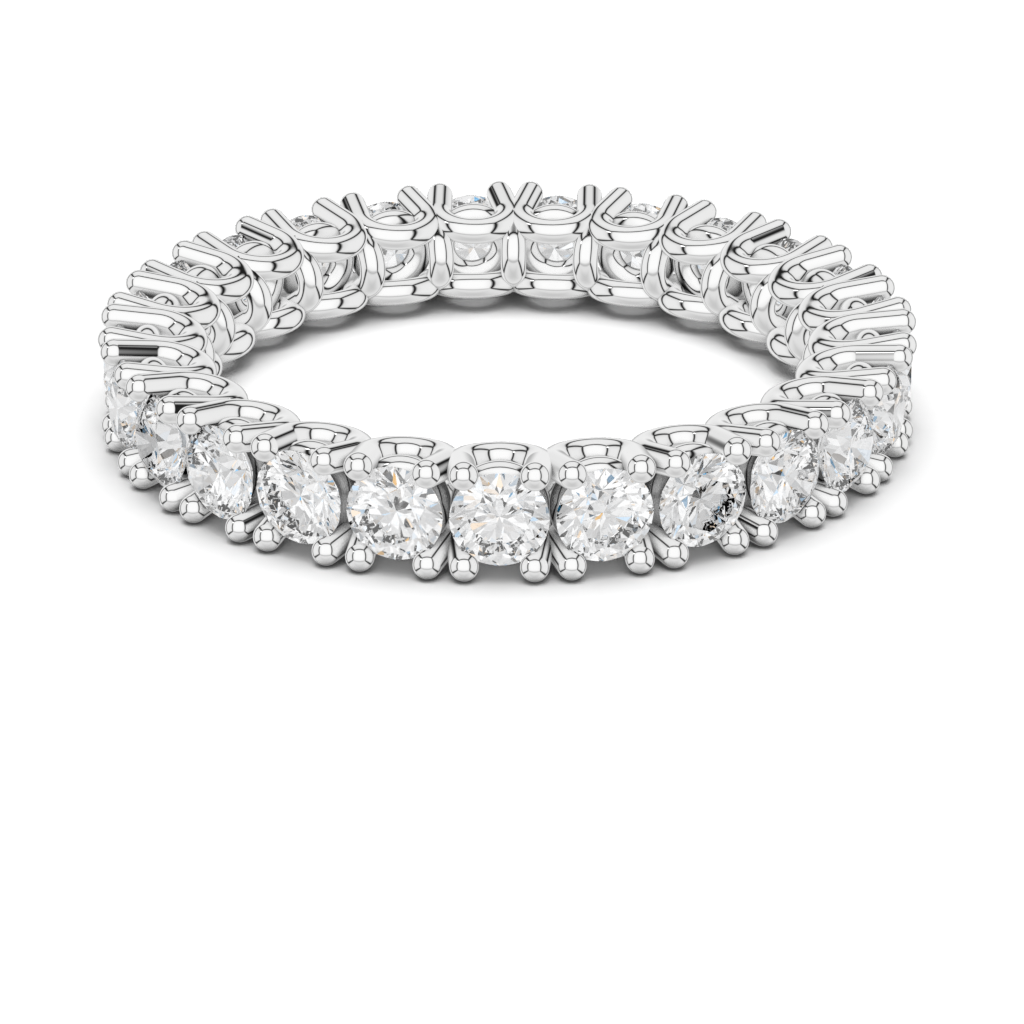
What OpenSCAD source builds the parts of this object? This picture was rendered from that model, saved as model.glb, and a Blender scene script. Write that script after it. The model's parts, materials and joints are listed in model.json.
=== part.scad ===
// Eternity ring: brilliant-cut stones all the way round, each held by four round wire prongs.
// It lies on its side: the finger's axis is Z, the first setting faces -Y, and Z = 0 is the
// surface that the lower prongs rest on.

/* [Finger] */
// Inside diameter, measured between the wire columns
finger_d = 16.5; // [14:0.1:21]
// Width of the band on the finger side, across both rails
shank_w = 2.5; // [2.2:0.05:3.2]
// How much farther out than the columns the rails' bends begin
rail_step = 0.08; // [0:0.01:0.2]

/* [Stones] */
// Diameter of a stone
stone_d = 2.56; // [2.2:0.02:3.2]
// Smallest space wanted between neighbouring girdles
stone_space = 0.15; // [0.06:0.01:0.2]
// Distance from the finger to the girdle's middle
stone_lift = 2.55; // [2.45:0.01:2.75]
// Height of the crown above the girdle
crown_h = 0.38; // [0.3:0.01:0.48]
// Thickness of the girdle
girdle_h = 0.06; // [0.03:0.01:0.1]
// Depth of the pavilion below the girdle
pavilion_h = 1.09; // [0.95:0.01:1.2]
// Width of the table, corner to corner
table_d = 1.46; // [1.1:0.02:1.6]
// Clearance between a stone and its seat
seat_gap = 0.02; // [0.01:0.005:0.04]

/* [Wire] */
// Diameter of the wire of the rails, prongs and columns
wire_d = 0.76; // [0.66:0.02:0.9]
// Radius of a rail's bend, to the wire's centre
bend_r = 1.04; // [1:0.01:1.2]
// Distance from the finger to the centre of a prong's tip
prong_lift = 2.69; // [2.6:0.01:2.9]
// How far a prong laps over the stone's edge
prong_lap = 0.11; // [0.06:0.01:0.16]
// Direction of a prong from the stone's centre, above the band's middle
prong_a = 54.4; // [50:0.1:58]
// Diameter of the gallery rings' wire
gallery_wire_d = 0.74; // [0.6:0.02:0.8]
// Radius of a gallery ring, to the wire's centre
gallery_r = 0.9; // [0.86:0.01:0.91]
// Radius of a column's bow, to the wire's centre
bow_r = 0.66; // [0.5:0.01:0.75]
// Lean of a column's ends, away from straight outwards
bow_a = 35; // [30:1:45]

/* [Hidden] */
wire_r = wire_d / 2;
stone_r = stone_d / 2;
girdle_r = finger_d / 2 + stone_lift;
tip_r = finger_d / 2 + prong_lift;
column_r = finger_d / 2 + wire_r;
rail_r = column_r + rail_step;
rail_z = shank_w / 2 - wire_r;

// As many settings as fit round the girdles' circle
settings = floor(180 / atan((stone_r + stone_space / 2) / girdle_r));
step_a = 360 / settings;

// The centre of a prong's tip, seen along the stone's axis
prong_out = stone_r + wire_r - prong_lap;
tip_x = prong_out * cos(prong_a);
tip_z = prong_out * sin(prong_a);

// A rail's plane rises towards the tips, and its legs lean in from the bend
rail_run = tip_r - rail_r;
rise_a = atan((tip_z - rail_z) / rail_run);
tip_y = rail_run / cos(rise_a);
lean_a = asin(bend_r / norm([tip_x, tip_y - bend_r])) - atan(tip_x / (tip_y - bend_r));

// Where a column's bow ends, and how far its straight ends run on to the rails' plane
bow_end_r = column_r + bow_r * (1 - sin(bow_a));
bow_end_z = bow_r * cos(bow_a);
column_rise = rail_z + (bow_end_r - rail_r) * tan(rise_a) - bow_end_z;
column_end = column_rise / (sin(bow_a) - cos(bow_a) * tan(rise_a));

// Facets of the wires: sides all round, and steps along each curve
wire_sides = 5;
bend_corners = 4;
gallery_corners = 8;

// A wire's corners lie a little outside the round wire, so that its sides reach as far sideways
corner_share = 1.06;
corner_r = corner_share * wire_r;

// Rows of a prong's dome: how far on and how wide, as shares of the wire's radius
DOME = [[0, 1], [0.86, 0.5]];

// A prong's flat side faces the stone, and is set back for the girdle below the lap. The small
// twist from one prong to the other keeps the corners of neighbouring wires off each other.
face_a = 58;
wire_twist = 5;
prong_turn = 90 + face_a - 180 / wire_sides;
prong_flat = corner_r * cos(180 / wire_sides);
bearing_h = stone_r + seat_gap + prong_flat - prong_out * cos(face_a - prong_a);
bearing_at = (stone_lift + girdle_h / 2 + seat_gap - prong_lift - prong_flat * sin(face_a) * sin(rise_a))
    / (cos(lean_a) * cos(rise_a));

// The band's middle lies above the lowest corners of the prongs' tips
tip_h = max([for (k = [0 : wire_sides - 1], twist = [0, wire_twist]) let (t = prong_turn + twist + k * 360 / wire_sides)
    corner_r * (cos(t) * cos(rise_a) - sin(t) * sin(lean_a) * sin(rise_a))]);
mid_z = tip_z + tip_h;

// A flat side of a column's wire faces the finger
column_turn = 90 - 360 / wire_sides;

// A flat side of the gallery ring's wire faces the pavilion at the seat's clearance
pavilion_a = atan(pavilion_h / stone_r);
gallery_drop = (stone_r - gallery_r) * tan(pavilion_a)
    + (gallery_wire_d / 2 * cos(180 / wire_sides) + seat_gap) / cos(pavilion_a);
gallery_lift = stone_lift - girdle_h / 2 - gallery_drop;
gallery_turn = pavilion_a + 180 / wire_sides;

// The brilliant cut: facets round the table, and shares of the way in from the girdle
cut_sides = 8;
cut_a = 360 / cut_sides;
star_share = 0.5;
lower_share = 0.77;

// Places its children at a setting, or between two for a half number, with their -Y outwards
module at_setting(i) translate([0, 0, mid_z]) rotate([0, 0, i * step_a]) children();

// Turns what is drawn along +Z outwards, from a distance to the finger's axis
module facing_out(r) translate([0, -r, 0]) rotate([90, 0, 0]) children();

function heading(a) = [cos(a), sin(a)];
function on_circle(centre, r, a) = centre + r * heading(a);

// A row of a wire's corners round a point of the XY plane, square to the way it runs
function wire_row(at, a, r, turn = 0) = [
    for (k = [0 : wire_sides - 1]) let (t = turn + k * 360 / wire_sides)
        [at.x - r * sin(t) * sin(a), at.y + r * sin(t) * cos(a), r * cos(t)]
];

// Rows of a wire that turns from angle a0 to a1 in a few corners, its lengths touching the arc
function arc_rows(centre, bow, a0, a1, count, r, turn, twist = 0) = let (half = (a1 - a0) / count / 2) [
    for (k = [0 : count - 1]) let (on = k + 0.5, a = a0 + 2 * on * half)
        wire_row(on_circle(centre, bow / cos(half), a), a + 90, r, turn + twist * on / count)
];

// The solid through rows of corners, closed by its end rows or joined into a ring
module skin(rows, ring = false) {
    m = len(rows);
    n = len(rows[0]);
    walls = [
        for (j = [0 : ring ? m - 1 : m - 2], k = [0 : n - 1]) let (next = (j + 1) % m, side = (k + 1) % n)
            [j * n + k, j * n + side, next * n + side, next * n + k]
    ];
    ends = [[for (k = [n - 1 : -1 : 0]) k], [for (k = [0 : n - 1]) (m - 1) * n + k]];
    polyhedron([for (row = rows) each row], ring ? walls : concat(walls, ends));
}

// A row of a prong's corners, a distance past its tip's centre, with the side that faces the
// stone set back by a depth
function prong_row(side, past, size = 1, back = 0) = let (
    at = [side * (tip_x - past * sin(lean_a)), -tip_y - past * cos(lean_a)],
    turn = prong_turn + (side < 0 ? wire_twist : 0),
    row = wire_row(at, 180 - side * (90 + lean_a), size * corner_r, turn)
) [for (k = [0 : wire_sides - 1]) k < 2 ? row[k] + back * [side * cos(face_a), 0, sin(face_a)] : row[k]];

// One bent wire: a bend on the finger side, with both ends running out as domed prongs
module rail() {
    n = len(DOME);
    arc = arc_rows([0, -bend_r], bend_r, -lean_a, 180 + lean_a, bend_corners, corner_r, prong_turn, wire_twist);
    start = [for (i = [n - 1 : -1 : 0]) prong_row(1, DOME[i][0] * wire_r, DOME[i][1])];
    finish = [for (i = [0 : n - 1]) prong_row(-1, DOME[i][0] * wire_r, DOME[i][1])];
    translate([0, -rail_r, rail_z]) rotate([-rise_a, 0, 0]) skin(concat(
        start,
        [prong_row(1, bearing_at, 1, bearing_h)],
        arc,
        [prong_row(-1, bearing_at, 1, bearing_h)],
        finish
    ));
}

// The wire ring that a stone's pavilion sits in
module gallery() {
    rows = arc_rows([0, 0], gallery_r, 0, 360, gallery_corners, gallery_wire_d / 2, gallery_turn);
    facing_out(finger_d / 2 + gallery_lift) skin(rows, true);
}

// The wire between two settings, bowed towards the finger, from one rail to the other. Its two
// halves meet at mid-height and each has one bend.
module column() {
    centre = [0, -column_r - bow_r];
    bend_a = (90 - bow_a) / 2;
    middle = wire_row([0, -column_r], 180, corner_r, column_turn);
    bent = wire_row(on_circle(centre, bow_r / cos(bend_a), bow_a + bend_a), bow_a + bend_a + 90, corner_r, column_turn);
    end = on_circle(centre, bow_r, bow_a) - column_end * heading(bow_a + 90);
    last = wire_row(end, bow_a + 90, corner_r, column_turn);
    rotate([0, 90, 0]) for (side = [0, 1]) mirror([side, 0, 0])
        hull() skin([last, bent, [for (p = middle) [0, p.y, p.z]]]);
}

module setting_band() {
    color("gainsboro") for (i = [0 : settings - 1]) {
        at_setting(i) {
            rail();
            mirror([0, 0, 1]) rail();
            gallery();
        }
        at_setting(i + 0.5) column();
    }
}

// Points of one row of facet corners, and the height of a flat facet between two radii
function corners(count, turn, r, z) =
    [for (k = [0 : count - 1]) [r * cos(turn + k * 360 / count), r * sin(turn + k * 360 / count), z]];
function height_at(x, x0, z0, x1, z1) = z0 + (z1 - z0) * (x - x0) / (x1 - x0);

// A round brilliant, its table up and the middle of its girdle at Z = 0
module brilliant() {
    n = cut_sides;
    top = girdle_h / 2;
    table_r = table_d / 2;
    flat_r = table_r * cos(cut_a / 2);
    star_r = flat_r + star_share * (stone_r - flat_r);
    star_z = height_at(star_r * cos(cut_a / 2), table_r, top + crown_h, stone_r, top);
    lower_r = (1 - lower_share) * stone_r;
    lower_z = height_at(lower_r * cos(cut_a / 2), 0, -top - pavilion_h, stone_r, -top);
    points = concat(
        corners(n, 0, table_r, top + crown_h),
        corners(n, cut_a / 2, star_r, star_z),
        corners(2 * n, 0, stone_r, top),
        corners(2 * n, 0, stone_r, -top),
        corners(n, cut_a / 2, lower_r, lower_z),
        [[0, 0, -top - pavilion_h]]
    );
    star = n;
    upper = 2 * n;
    under = 4 * n;
    lower = 6 * n;
    culet = 7 * n;
    facets = [for (k = [0 : n - 1]) let (back = (k + n - 1) % n, mid = 2 * k + 1, next = (2 * k + 2) % (2 * n)) each [
        [k, (k + 1) % n, star + k],
        [k, star + k, upper + 2 * k, star + back],
        [star + k, upper + mid, upper + 2 * k],
        [star + k, upper + next, upper + mid],
        [upper + 2 * k, upper + mid, under + mid, under + 2 * k],
        [upper + mid, upper + next, under + next, under + mid],
        [lower + k, under + 2 * k, under + mid],
        [lower + k, under + mid, under + next],
        [culet, lower + back, under + 2 * k, lower + k]
    ]];
    table = [for (k = [n - 1 : -1 : 0]) k];
    polyhedron(points, concat([table], facets));
}

module stone(i) {
    color("white") at_setting(i - 1) facing_out(girdle_r) brilliant();
}

setting_band();
for (i = [1 : settings]) stone(i);
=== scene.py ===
"""An eternity ring: polished white gold wire settings, each holding a round brilliant."""

import json
import math

import bmesh
import bpy
from mathutils import Matrix, Vector


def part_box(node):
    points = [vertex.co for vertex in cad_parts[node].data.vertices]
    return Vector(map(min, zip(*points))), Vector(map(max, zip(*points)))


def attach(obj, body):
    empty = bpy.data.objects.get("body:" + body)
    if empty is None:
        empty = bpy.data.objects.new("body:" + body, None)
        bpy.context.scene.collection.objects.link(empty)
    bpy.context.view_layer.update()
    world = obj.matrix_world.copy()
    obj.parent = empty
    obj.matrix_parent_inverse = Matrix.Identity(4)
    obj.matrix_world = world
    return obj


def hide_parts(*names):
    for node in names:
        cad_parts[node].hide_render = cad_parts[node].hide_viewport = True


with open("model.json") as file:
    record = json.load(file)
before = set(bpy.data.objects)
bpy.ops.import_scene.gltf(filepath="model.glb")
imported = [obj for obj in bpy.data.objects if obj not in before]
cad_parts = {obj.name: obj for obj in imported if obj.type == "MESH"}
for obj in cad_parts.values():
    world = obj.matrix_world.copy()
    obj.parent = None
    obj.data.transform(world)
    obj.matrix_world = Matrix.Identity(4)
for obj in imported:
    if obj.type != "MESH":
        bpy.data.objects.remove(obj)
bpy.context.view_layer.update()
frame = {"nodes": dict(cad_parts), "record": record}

# The ring is modelled in millimetres and brought to metres when a piece is finished.
MM = 0.001
MERGE_GAP = 0.0005

STONES = sorted(name for name in frame["nodes"] if name.startswith("stone_"))
SETTINGS = len(STONES)
finger = next(m for m in frame["record"]["mounts"] if m["name"] == "finger")
FINGER_R = finger["dims"]["r_mm"]
stone_low, stone_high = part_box(STONES[0])
STONE_R = (stone_high.x - stone_low.x) / 2 / MM
MID_Z = (stone_high.z + stone_low.z) / 2 / MM
TABLE_OUT = -stone_low.y / MM

# The wire settings
WIRE_R = 0.38
SHANK_W = 2.5
RAIL_STEP = 0.08
BEND_R = 1.04
PRONG_LIFT = 2.69
PRONG_LAP = 0.11
PRONG_A = math.radians(54.4)
GALLERY_R = 0.91
GALLERY_WIRE_R = 0.37
GALLERY_LIFT = 1.76
BOW_R = 0.66
BOW_A = math.radians(55)
SEAT_GAP = 0.02

# The brilliant cut
CROWN_H = 0.38
GIRDLE_H = 0.06
PAVILION_H = 1.09
TABLE_R = 0.73
STAR_SHARE = 0.5
LOWER_SHARE = 0.77
CULET_H = 0.01
MAINS = 8
GIRDLE_R = TABLE_OUT - CROWN_H - GIRDLE_H / 2

# How finely the pieces are made
WIRE_SIDES = 32
DOME_RINGS = 8
BEND_STEPS = 14
RING_STEPS = 64
RING_SIDES = 32
BOW_STEPS = 8
STONE_SIDES = 96
SMOOTH_A = math.radians(32)

# How far off the round wire's surface a corner may lie and still be shaded as round
ROUND_GAP = 0.006

# Where a rail's tips, plane and legs lie
prong_out = STONE_R + WIRE_R - PRONG_LAP
tip_x = prong_out * math.cos(PRONG_A)
tip_z = prong_out * math.sin(PRONG_A)
column_r = FINGER_R + WIRE_R
rail_r = column_r + RAIL_STEP
rail_z = SHANK_W / 2 - WIRE_R
rail_run = FINGER_R + PRONG_LIFT - rail_r
rise_a = math.atan((tip_z - rail_z) / rail_run)
tip_y = rail_run / math.cos(rise_a)
leg_reach = tip_y - BEND_R
lean_a = math.asin(BEND_R / math.hypot(tip_x, leg_reach)) - math.atan(tip_x / leg_reach)
leg_h = leg_reach * math.cos(lean_a) - tip_x * math.sin(lean_a)

# How far a column's straight end runs on from its bow to the middle of the rail's wire
bow_end_r = column_r + BOW_R * (1 - math.cos(BOW_A))
bow_end_z = BOW_R * math.sin(BOW_A)
column_rise = rail_z + (bow_end_r - rail_r) * math.tan(rise_a) - bow_end_z
column_end = column_rise / (math.cos(BOW_A) - math.sin(BOW_A) * math.tan(rise_a))

# The camera was fitted to the prongs' tips, in millimetres from the ring's middle.
CAMERA_AT = Vector((0.1185, -102.50, 40.215))
CAMERA_PITCH = math.radians(23.57)
CAMERA_TURN = math.radians(1.07)
CAMERA_LENS = 138.45
SENSOR_W = 36

# How often light may turn at surfaces, in all, inside the stones and on the metal
ALL_TURNS = 16
STONE_TURNS = 12
METAL_TURNS = 9
TURNED_TWICE = 2

# White gold: its colours and the near black of its painted shade, how rough its polish is, and its
# cloudiness in millimetres
GOLD_PALE = (0.89, 0.89, 0.888, 1)
GOLD_DEEP = (0.86, 0.86, 0.858, 1)
GOLD_PAINTED_SHADE = (0.03, 0.03, 0.03, 1)
POLISH = 0.01
CLOUD_ROUGHNESS, LINE_ROUGHNESS = 0.02, 0.015
CLOUD_SIZE, LINE_SIZE = 1.6, 0.12

# Painted shade: the metal's colour is darkened where little open air lies within this reach, in
# millimetres.
PAINTED_SHADE_REACH = 1.2
PAINTED_SHADE_SHUT, PAINTED_SHADE_OPEN = 0.1, 0.48
PAINTED_SHADE_SAMPLES = 8

# Diamond and the floor's paper
DIAMOND_CLEAR = (1, 1, 1, 1)
DIAMOND_TINT = (0.985, 0.99, 1, 1)
DIAMOND_CLOUD = 0.5
FACET_ROUGHNESS = 0.004
DIAMOND_IOR = 2.418
PAPER_PALE = (0.95, 0.95, 0.95, 1)
PAPER_DEEP = (0.93, 0.93, 0.93, 1)
FIBRE_SIZE = 0.4
GRAIN_DETAIL = 2.0
FLOOR_SIZE = 2.0

# The light tent: how far its walls are from the ring, along the camera's own axes
TENT_PITCH = math.radians(25)
TENT_RIGHT, TENT_LEFT = 1.15, 1.5
TENT_TOP, TENT_BOTTOM = 1.7, 0.8
TENT_FRONT, TENT_BACK = 1.0, 1.2

# The walls' light, and what is added on the front wall or lost in the bottom wall's middle
WALL_LIGHT = 0.95
FRONT_GAIN = 0.17
SMUDGE_LOSS = 0.3
SMUDGE_EDGE = 0.8

# A wall pales from its edge inwards, and the seam between two walls is dark
EDGE_LIGHT = 0.84
EDGE_REACH = 0.7
SEAM_DARKNESS = 0.98
SEAM_CORE = 0.15
FAINT_SEAM_LOSS = 0.7
METAL_SEAM, STONE_SEAM = 0.27, 0.12
BEHIND_LOW, BEHIND_HIGH = 0.88, 0.985
METAL_SHADE, STONE_SHADE = 0.5, 0.0

# A small lamp in the tent, the light on the floor from overhead, and the backdrop
LAMP_AIM = Vector((-0.688, 0.586, 0.428))
LAMP_LOW, LAMP_HIGH = 0.996, 0.998
LAMP_LIGHT = 2.0
OVERHEAD_LIGHT = 6.8
OVERHEAD_FOCUS = 12
ALL_ROUND_LIGHT = 0.2
BACKDROP = (1.05, 1.05, 1.05, 1)

# A stone's fire: warm and cool light come from a little apart, out of paler and darker patches
FIRE_AXIS = (0.3, 0.6, 0.74)
FIRE_SPREAD = math.radians(0.55)
PATCH_SCALE = 2.8
PATCH_LOW, PATCH_GAIN = 0.55, 0.55
DARK_SHARE = 0.09
DARK_LOSS = 0.95


class Signal:
    """A socket of a node tree, with which sums are written as in Python."""

    def __init__(self, recipe, socket):
        self.recipe = recipe
        self.socket = socket

    def sum(self, operation, *others):
        values = dict(enumerate((self, *others)))
        return self.recipe.node("ShaderNodeMath", {"operation": operation}, values)

    def __add__(self, other):
        return self.sum("ADD", other)

    def __sub__(self, other):
        return self.sum("SUBTRACT", other)

    def __mul__(self, other):
        return self.sum("MULTIPLY", other)

    def __truediv__(self, other):
        return self.sum("DIVIDE", other)

    def __rsub__(self, other):
        return self.recipe.node("ShaderNodeMath", {"operation": "SUBTRACT"}, {0: other, 1: self})

    def __gt__(self, other):
        return self.sum("GREATER_THAN", other)

    def __lt__(self, other):
        return self.sum("LESS_THAN", other)

    __radd__ = __add__
    __rmul__ = __mul__

    def most(self, other):
        return self.sum("MAXIMUM", other)

    def least(self, other):
        return self.sum("MINIMUM", other)

    def rise(self, low, high):
        """From 0 at low to 1 at high, smoothly."""
        limits = {"Value": self, "From Min": low, "From Max": high}
        return self.recipe.node("ShaderNodeMapRange", {"interpolation_type": "SMOOTHSTEP"}, limits)


class Recipe:
    """A node tree that is built node by node."""

    def __init__(self, owner):
        owner.use_nodes = True
        self.tree = owner.node_tree
        self.tree.nodes.clear()

    def node(self, kind, settings=None, values=None, out=0):
        """Adds a node, sets it, fills its sockets and gives back one of its outputs."""
        node = self.tree.nodes.new(kind)
        for name, setting in (settings or {}).items():
            setattr(node, name, setting)
        for name, value in (values or {}).items():
            if isinstance(value, Signal):
                self.tree.links.new(value.socket, node.inputs[name])
            else:
                node.inputs[name].default_value = value
        return Signal(self, node.outputs[out]) if node.outputs else None

    def mix(self, share, first, second):
        """A colour between two colours."""
        values = {0: share, 6: first, 7: second}
        return self.node("ShaderNodeMix", {"data_type": "RGBA"}, values, out=2)

    def grain(self, size):
        """Noise over the surface, with grains of a size in millimetres."""
        place = self.node("ShaderNodeTexCoord", out="Object")
        values = {"Vector": place, "Scale": 1 / (size * MM), "Detail": GRAIN_DETAIL}
        return self.node("ShaderNodeTexNoise", None, values)


def turned(x=0.0, z=0.0):
    """A turn about X, then Z."""
    return Matrix.Rotation(z, 4, "Z") @ Matrix.Rotation(x, 4, "X")


def at_setting(number):
    """The place of a setting in metres, or of the gap after it for a half number."""
    turn = turned(z=number * math.tau / SETTINGS)
    return Matrix.Scale(MM, 4) @ Matrix.Translation((0, 0, MID_Z)) @ turn


def around(azimuth, radius, z):
    """A point beside the Z axis."""
    return Vector((radius * math.cos(azimuth), radius * math.sin(azimuth), z))


def started(name):
    """Names the primitive that was just added and opens it for editing."""
    piece = bpy.context.object
    piece.name = name
    bpy.ops.object.mode_set(mode="EDIT")
    return piece


def pick(piece, wanted):
    """Selects the points of an open mesh whose place passes a test."""
    bpy.ops.mesh.select_mode(type="VERT")
    bpy.ops.mesh.select_all(action="DESELECT")
    shape = bmesh.from_edit_mesh(piece.data)
    for point in shape.verts:
        point.select = wanted(point.co)
    shape.select_flush(True)
    bmesh.update_edit_mesh(piece.data)


def extruded(move, widen=1.0):
    """Extrudes what is selected, and widens or narrows its new end."""
    bpy.ops.mesh.extrude_region_move(TRANSFORM_OT_translate={"value": move})
    if widen != 1.0:
        bpy.ops.transform.resize(value=(widen, widen, 1))


def closed(piece):
    """Merges doubles, turns the faces outwards and ends the editing."""
    bpy.ops.mesh.select_all(action="SELECT")
    bpy.ops.mesh.remove_doubles(threshold=MERGE_GAP)
    bpy.ops.mesh.normals_make_consistent(inside=False)
    bpy.ops.object.mode_set(mode="OBJECT")
    return piece


def closed_again(piece):
    """Opens the active piece's mesh once more to merge its doubles and turn its faces outwards."""
    bpy.ops.object.mode_set(mode="EDIT")
    return closed(piece)


def chosen(*pieces):
    """Selects some pieces alone, and makes the first one active."""
    bpy.ops.object.select_all(action="DESELECT")
    for piece in pieces:
        piece.select_set(True)
    bpy.context.view_layer.objects.active = pieces[0]
    return pieces[0]


def placed(piece, place):
    """Moves a piece and writes its place into its mesh."""
    chosen(piece)
    piece.matrix_world = place @ piece.matrix_world
    bpy.ops.object.transform_apply(location=True, rotation=True, scale=True)
    return piece


def copied(piece, name, place):
    """A copy with a mesh of its own, at its place."""
    twin = piece.copy()
    twin.data = piece.data.copy()
    twin.name = twin.data.name = name
    bpy.context.collection.objects.link(twin)
    return placed(twin, place)


def finished(piece, kind, **settings):
    """Adds a modifier to a piece and applies it."""
    chosen(piece)
    step = piece.modifiers.new(kind.lower(), kind)
    for name, setting in settings.items():
        setattr(step, name, setting)
    bpy.ops.object.modifier_apply(modifier=step.name)
    return piece


def mirrored(piece, axis):
    """Adds the other half of a piece whose open end lies on the mirror."""
    across = [axis == name for name in "xyz"]
    finished(piece, "MIRROR", use_axis=across, merge_threshold=MERGE_GAP)
    return closed_again(piece)


def seated(wire, cutter):
    """Cuts a stone's seat into a wire."""
    return finished(wire, "BOOLEAN", operation="DIFFERENCE", solver="EXACT", object=cutter)


def seat_cutter():
    """A stone's space with its clearance, a round body from the table to the culet."""
    side = GIRDLE_H / 2 + SEAT_GAP
    girdle = STONE_R + SEAT_GAP
    top, radius = side + CROWN_H, TABLE_R + SEAT_GAP
    outline = [(side, girdle), (-side, girdle), (-side - PAVILION_H, SEAT_GAP)]
    bpy.ops.mesh.primitive_circle_add(
        vertices=STONE_SIDES,
        radius=radius,
        fill_type="NGON",
        location=(0, 0, top),
    )
    cutter = started("seat_cutter")
    bpy.ops.mesh.select_all(action="SELECT")
    for height, wide in outline:
        extruded((0, 0, height - top), wide / radius)
        top, radius = height, wide
    closed(cutter)
    return placed(cutter, FACING_OUT)


def bent_rail(cutter):
    """A setting's upper wire: a domed tip, a leg and half of the bend, then their mirror image."""
    leg = Vector((-math.sin(lean_a), -math.cos(lean_a), 0))
    bpy.ops.mesh.primitive_uv_sphere_add(
        segments=WIRE_SIDES,
        ring_count=2 * DOME_RINGS,
        radius=WIRE_R,
        location=(tip_x, -tip_y, 0),
        rotation=(math.pi / 2, 0, -lean_a),
    )
    rail = started("rail")
    pick(rail, lambda place: place.z < -MERGE_GAP)
    bpy.ops.mesh.delete(type="VERT")
    pick(rail, lambda place: place.z < MERGE_GAP)
    extruded(-leg_h * leg)
    bpy.ops.mesh.spin(
        steps=BEND_STEPS,
        angle=-math.pi / 2 - lean_a,
        center=(0, -BEND_R, 0),
        axis=(0, 0, 1),
    )
    bpy.ops.object.mode_set(mode="OBJECT")
    placed(rail, Matrix())
    mirrored(rail, "x")
    placed(rail, RAIL_PLANE)
    return seated(rail, cutter)


def gallery_ring(cutter):
    """The wire ring under a stone, with the stone's seat cut into it."""
    bpy.ops.mesh.primitive_torus_add(
        major_segments=RING_STEPS,
        minor_segments=RING_SIDES,
        major_radius=GALLERY_R,
        minor_radius=GALLERY_WIRE_R,
    )
    ring = closed(started("gallery_ring"))
    placed(ring, RING_PLANE)
    return seated(ring, cutter)


def bowed_column():
    """Half a bow from its middle, with its straight end, then the mirror image."""
    bow_at = -column_r - BOW_R
    bpy.ops.mesh.primitive_circle_add(vertices=RING_SIDES, radius=WIRE_R, location=(0, -column_r, 0))
    column = started("column")
    bpy.ops.mesh.select_all(action="SELECT")
    bpy.ops.mesh.spin(steps=BOW_STEPS, angle=-BOW_A, center=(0, bow_at, 0), axis=(1, 0, 0))
    extruded((0, -column_end * math.sin(BOW_A), column_end * math.cos(BOW_A)))
    bpy.ops.mesh.edge_face_add()
    bpy.ops.object.mode_set(mode="OBJECT")
    placed(column, Matrix())
    return mirrored(column, "z")


def facet(first, second, third):
    """Grinds away all that lies outside the plane through three points."""
    slope = (second - first).cross(third - first).normalized()
    bpy.ops.mesh.select_all(action="SELECT")
    outside = slope if slope.dot(first) > 0 else -slope
    bpy.ops.mesh.bisect(plane_co=first, plane_no=outside, use_fill=True, clear_outer=True)


def brilliant():
    """A round brilliant with its table facing outwards, ground facet by facet from a disc."""
    half = math.pi / MAINS
    side = GIRDLE_H / 2
    table = side + CROWN_H
    culet = -side - PAVILION_H
    crown_slope = CROWN_H / (STONE_R - TABLE_R)
    star_in = TABLE_R * math.cos(half)
    star_out = star_in + STAR_SHARE * (STONE_R - star_in)
    star_z = side + crown_slope * (STONE_R - star_out * math.cos(half))
    lower_in = STONE_R * (1 - LOWER_SHARE)
    lower_z = culet + PAVILION_H * lower_in * math.cos(half) / STONE_R
    bpy.ops.mesh.primitive_cylinder_add(
        vertices=STONE_SIDES,
        radius=STONE_R,
        depth=table - culet - CULET_H,
        location=(0, 0, (table + culet + CULET_H) / 2),
    )
    stone = started("brilliant")
    bpy.ops.object.mode_set(mode="OBJECT")
    placed(stone, Matrix())
    bpy.ops.object.mode_set(mode="EDIT")
    for number in range(MAINS):
        main = 2 * half * number
        star = main + half
        across = around(main + math.pi / 2, 1, 0)
        beside = around(star + math.pi / 2, 1, 0)
        rim = around(main, STONE_R, side)
        tip = around(star, star_out, star_z)
        facet(rim, around(main, TABLE_R, table), rim + across)
        facet(tip, around(star, star_in, table), tip + beside)
        low_rim = around(main, STONE_R, -side)
        facet(low_rim, around(main, 0, culet), low_rim + across)
        for near in (main, main + 2 * half):
            facet(tip, around(near, STONE_R, side), around(star, STONE_R, side))
            low = around(star, lower_in, lower_z)
            facet(low, around(near, STONE_R, -side), around(star, STONE_R, -side))
    closed(stone)
    return placed(stone, FACING_OUT)


def rail_middle(place):
    """The point of a rail's middle line that is nearest to a place in the rail's own plane."""
    side = math.copysign(1, place.x)
    bend = Vector((0, -BEND_R, 0))
    out = Vector((place.x, place.y, 0)) - bend
    if out.y > -abs(out.x) * math.tan(lean_a):
        return bend + BEND_R * out.normalized()
    tip = Vector((side * tip_x, -tip_y, 0))
    back = Vector((side * math.sin(lean_a), math.cos(lean_a), 0))
    return tip + max(0, (place - tip).dot(back)) * back


def ring_middle(place):
    """The point of a gallery ring's middle line that is nearest to a place round the Z axis."""
    return GALLERY_R * Vector((place.x, place.y, 0)).normalized()


def rounded(piece, frame_of, middle, wire_r):
    """Shades a cut wire as the round wire that it was, and its seat as it is cut."""
    chosen(piece)
    bpy.ops.object.shade_smooth_by_angle(angle=SMOOTH_A)
    mesh = piece.data
    inward = frame_of.inverted()
    from_middle = [inward @ point.co - middle(inward @ point.co) for point in mesh.vertices]
    turn = frame_of.to_3x3()
    normals = [Vector()] * len(mesh.loops)
    for face in mesh.polygons:
        outs = [from_middle[number] for number in face.vertices]
        if all(abs(out.length - wire_r) < ROUND_GAP for out in outs):
            for loop, out in zip(face.loop_indices, outs):
                normals[loop] = (turn @ out).normalized()
    mesh.normals_split_custom_set(normals)
    return piece


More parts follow.
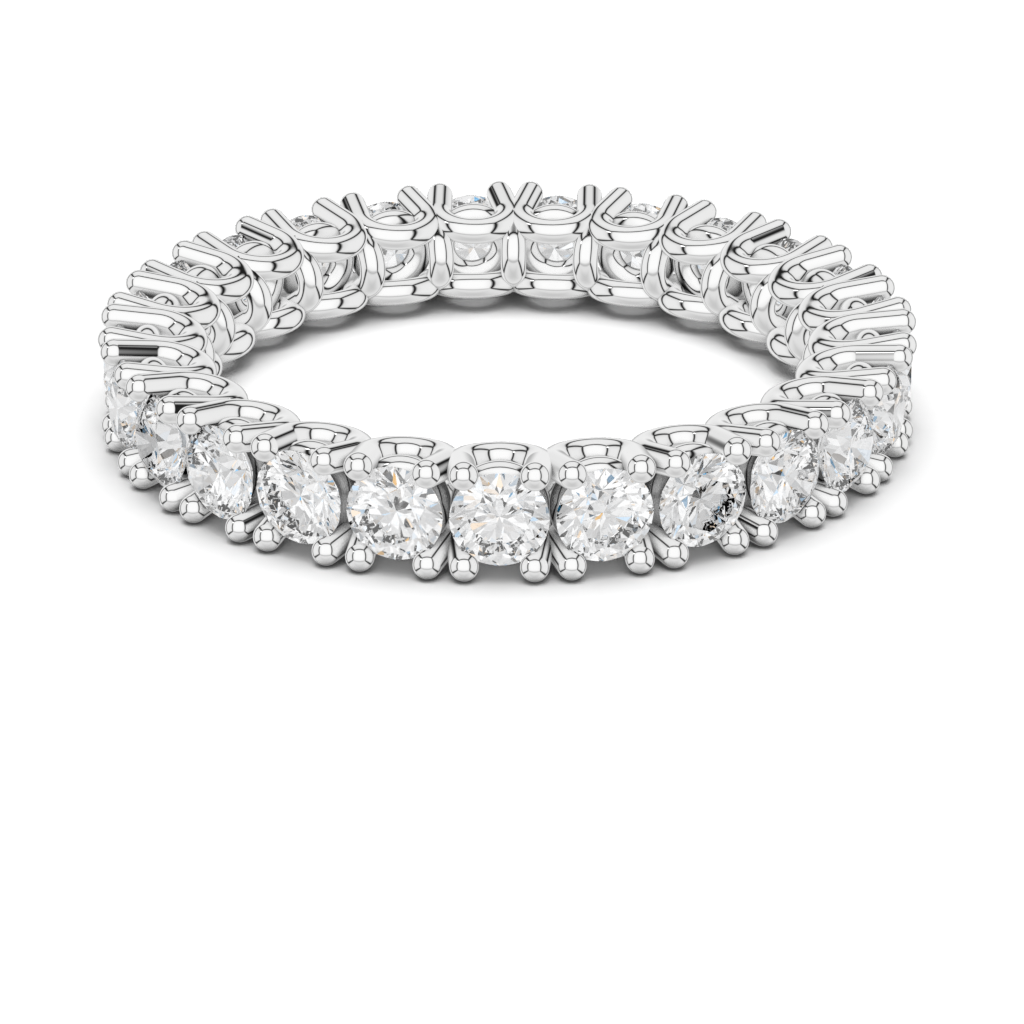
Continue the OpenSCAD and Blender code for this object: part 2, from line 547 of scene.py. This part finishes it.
def joined(name, parts):
    """Joins parts into one piece."""
    piece = chosen(*parts)
    bpy.ops.object.join()
    piece.name = piece.data.name = name
    return piece


def dressed(piece, material, slot, *nodes):
    """Gives a piece its finish, hangs it under the root and hides the parts that it replaces."""
    piece.data.materials.clear()
    piece.data.materials.append(material)
    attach(piece, "root")
    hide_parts(*nodes)


def white_gold():
    """Mirror-polished white gold, with the faint cloudiness that a polishing mop leaves, and painted
    shade in its crevices and between parts.
    """
    material = bpy.data.materials.new("white_gold")
    recipe = Recipe(material)
    cloud = recipe.grain(CLOUD_SIZE)
    lines = recipe.grain(LINE_SIZE)
    shine = recipe.mix(cloud, GOLD_PALE, GOLD_DEEP)
    reach = {"Distance": PAINTED_SHADE_REACH * MM}
    samples = {"samples": PAINTED_SHADE_SAMPLES}
    # Painted shade: where ambient occlusion finds little open air, the base colour is darkened
    # towards near black.
    open_air = recipe.node("ShaderNodeAmbientOcclusion", samples, reach, out=1)
    sockets = {
        "Base Color": recipe.mix(open_air.rise(PAINTED_SHADE_SHUT, PAINTED_SHADE_OPEN), GOLD_PAINTED_SHADE, shine),
        "Roughness": POLISH + CLOUD_ROUGHNESS * cloud + LINE_ROUGHNESS * lines,
        "Metallic": 1.0,
    }
    surface = recipe.node("ShaderNodeBsdfPrincipled", None, sockets)
    recipe.node("ShaderNodeOutputMaterial", None, {"Surface": surface})
    return material


def diamond():
    """Colourless diamond with polished facets."""
    material = bpy.data.materials.new("diamond")
    recipe = Recipe(material)
    cloud = recipe.grain(DIAMOND_CLOUD)
    sockets = {
        "Base Color": recipe.mix(cloud, DIAMOND_CLEAR, DIAMOND_TINT),
        "Roughness": FACET_ROUGHNESS * cloud,
        "IOR": DIAMOND_IOR,
        "Transmission Weight": 1.0,
    }
    cut = recipe.node("ShaderNodeBsdfPrincipled", None, sockets)
    # Light that a wire throws straight on passes the stones by, so that the wires mirror the
    # tent alone. A stone's own inner reflections have turned more often, and stay.
    reflected = recipe.node("ShaderNodeLightPath", out="Is Reflection Ray")
    once = recipe.node("ShaderNodeLightPath", out="Ray Depth") < TURNED_TWICE
    unseen = recipe.node("ShaderNodeBsdfTransparent")
    shaders = {0: reflected * once, 1: cut, 2: unseen}
    surface = recipe.node("ShaderNodeMixShader", None, shaders)
    recipe.node("ShaderNodeOutputMaterial", None, {"Surface": surface})
    return material


def paper():
    """Bright white paper for the floor."""
    material = bpy.data.materials.new("paper")
    recipe = Recipe(material)
    fibre = recipe.grain(FIBRE_SIZE)
    sockets = {
        "Base Color": recipe.mix(fibre, PAPER_PALE, PAPER_DEEP),
        "Roughness": 1.0,
        "Specular IOR Level": 0.0,
    }
    surface = recipe.node("ShaderNodeBsdfPrincipled", None, sockets)
    recipe.node("ShaderNodeOutputMaterial", None, {"Surface": surface})
    return material


def tent_light(recipe, aim, seam_width, shade_behind):
    """The brightness of the light tent in a direction: pale walls that darken into their seams."""
    axes = (turned(z=CAMERA_TURN) @ turned(x=math.pi / 2 - TENT_PITCH)).to_3x3()
    across, up, forward, lamp = [
        recipe.node("ShaderNodeVectorMath", {"operation": "DOT_PRODUCT"}, {0: aim, 1: axis}, out=1)
        for axis in (*axes.col, axes @ LAMP_AIM)
    ]
    side = (across / TENT_RIGHT).most(across / -TENT_LEFT)
    level = (up / TENT_TOP).most(up / -TENT_BOTTOM)
    depth = (forward / TENT_FRONT).most(forward / -TENT_BACK)

    # The direction meets the wall with the largest of the three, and the next one is its neighbour.
    wall = side.most(level).most(depth)
    far = side.least(level).least(depth)
    from_edge = 1 - (side + level + depth - wall - far) / wall
    low = up < 0
    on_front = (depth > side.most(level)) * (forward > 0)
    on_bottom = low * (level > side.most(depth))
    off_middle = (depth / level).most(side / level)
    behind = (0 - forward).rise(BEHIND_LOW, BEHIND_HIGH)
    smudge = on_bottom * (1 - off_middle.rise(0.0, SMUDGE_EDGE))
    light = WALL_LIGHT + FRONT_GAIN * on_front - SMUDGE_LOSS * smudge
    vignette = EDGE_LIGHT + (1 - EDGE_LIGHT) * from_edge.rise(0.0, EDGE_REACH)
    panel = light * vignette * (1 - shade_behind * behind)

    # The seams along the bottom wall's front and back edges are faint.
    seam = 1 - from_edge.rise(SEAM_CORE * seam_width, seam_width)
    faint = low * (side < level.least(depth))
    darkness = seam * (SEAM_DARKNESS - FAINT_SEAM_LOSS * faint)
    return panel * (1 - darkness) + LAMP_LIGHT * lamp.rise(LAMP_LOW, LAMP_HIGH)


def stone_gleam(recipe, aim, shift):
    """What a stone gathers in a direction: the tent, broken into paler and darker patches."""
    rotation = {"Vector": aim, "Axis": FIRE_AXIS, "Angle": shift}
    bent = recipe.node("ShaderNodeVectorRotate", None, rotation)
    patches = {"Vector": bent, "Scale": PATCH_SCALE}
    patch = recipe.node("ShaderNodeTexVoronoi", None, patches, out=1)
    pale, dark = [
        recipe.node("ShaderNodeSeparateColor", None, {0: patch}, out=channel)
        for channel in (0, 1)
    ]
    light = tent_light(recipe, bent, STONE_SEAM, STONE_SHADE)
    return light * (PATCH_LOW + PATCH_GAIN * pale) * (1 - DARK_LOSS * (dark < DARK_SHARE))


def studio_light():
    """The light tent round the ring, as the floor, the metal, the stones and the camera see it."""
    world = bpy.data.worlds.new("light_tent")
    bpy.context.scene.world = world
    recipe = Recipe(world)
    aim = recipe.node("ShaderNodeTexCoord", out="Generated")
    upwards = recipe.node("ShaderNodeSeparateXYZ", None, {0: aim}, out=2)
    overhead = upwards.most(0).sum("POWER", OVERHEAD_FOCUS)
    warm, cool = [stone_gleam(recipe, aim, shift) for shift in (-FIRE_SPREAD, FIRE_SPREAD)]
    fire = {0: warm, 1: 0.5 * (warm + cool), 2: cool}
    lights = {
        "Glossy": tent_light(recipe, aim, METAL_SEAM, METAL_SHADE),
        "Transmission": recipe.node("ShaderNodeCombineColor", None, fire),
        "Camera": BACKDROP,
    }
    floor_light = ALL_ROUND_LIGHT + OVERHEAD_LIGHT * overhead
    shine = recipe.node("ShaderNodeBackground", None, {"Color": floor_light})
    for rays, light in lights.items():
        seen = recipe.node("ShaderNodeLightPath", out=f"Is {rays} Ray")
        lit = recipe.node("ShaderNodeBackground", None, {"Color": light})
        shine = recipe.node("ShaderNodeMixShader", None, {0: seen, 1: shine, 2: lit})
    recipe.node("ShaderNodeOutputWorld", None, {"Surface": shine})


# The planes that a setting's pieces are made in, for the first setting
FACING_OUT = Matrix.Translation((0, -GIRDLE_R, 0)) @ turned(x=math.pi / 2)
RING_PLANE = Matrix.Translation((0, -FINGER_R - GALLERY_LIFT, 0)) @ turned(x=math.pi / 2)
RAIL_PLANE = Matrix.Translation((0, -rail_r, rail_z)) @ turned(x=-rise_a)
DOWNWARDS = Matrix.Scale(-1, 4, (0, 0, 1))

bpy.ops.object.select_all(action="DESELECT")
cutter = seat_cutter()
upper_rail = bent_rail(cutter)
lower_rail = closed_again(copied(upper_rail, "lower_rail", DOWNWARDS))
rounded(upper_rail, RAIL_PLANE, rail_middle, WIRE_R)
rounded(lower_rail, DOWNWARDS @ RAIL_PLANE, rail_middle, WIRE_R)
ring = rounded(gallery_ring(cutter), RING_PLANE, ring_middle, GALLERY_WIRE_R)
column = bowed_column()
bpy.ops.object.shade_smooth_by_angle(angle=SMOOTH_A)
stone = brilliant()

rails = [
    copied(rail, "rail", at_setting(number))
    for number in range(SETTINGS)
    for rail in (upper_rail, lower_rail)
]
rings = [copied(ring, "gallery_ring", at_setting(number)) for number in range(SETTINGS)]
columns = [copied(column, "column", at_setting(number + 0.5)) for number in range(SETTINGS)]
metal = white_gold()
for name, parts in {"prong_rails": rails, "gallery_rings": rings, "bowed_columns": columns}.items():
    wires = joined(name, parts)
    dressed(wires, metal, "white_gold", "setting_band")
    wires.visible_transmission = wires.visible_glossy = False

clear = diamond()
for number, node in enumerate(STONES):
    gem = copied(stone, node.replace("stone", "diamond"), at_setting(number))
    dressed(gem, clear, "diamond", node)

for pattern in (cutter, upper_rail, lower_rail, ring, column, stone):
    bpy.data.objects.remove(pattern)

rails_low = min(corner[2] for corner in bpy.data.objects["prong_rails"].bound_box)
bpy.ops.mesh.primitive_plane_add(size=FLOOR_SIZE, location=(0, 0, rails_low))
floor = bpy.context.object
floor.name = "paper_floor"
floor.data.materials.append(paper())
floor.visible_glossy = floor.visible_transmission = False

studio_light()

place = MM * (turned(z=CAMERA_TURN) @ CAMERA_AT + Vector((0, 0, MID_Z)))
bpy.ops.object.camera_add(location=place, rotation=(math.pi / 2 - CAMERA_PITCH, 0, CAMERA_TURN))
camera = bpy.context.object
camera.data.lens = CAMERA_LENS
camera.data.sensor_width = SENSOR_W
camera.data.clip_start = MM
scene = bpy.context.scene
scene.camera = camera
scene.view_settings.view_transform = "Standard"
scene.cycles.max_bounces = ALL_TURNS
scene.cycles.transmission_bounces = STONE_TURNS
scene.cycles.glossy_bounces = METAL_TURNS
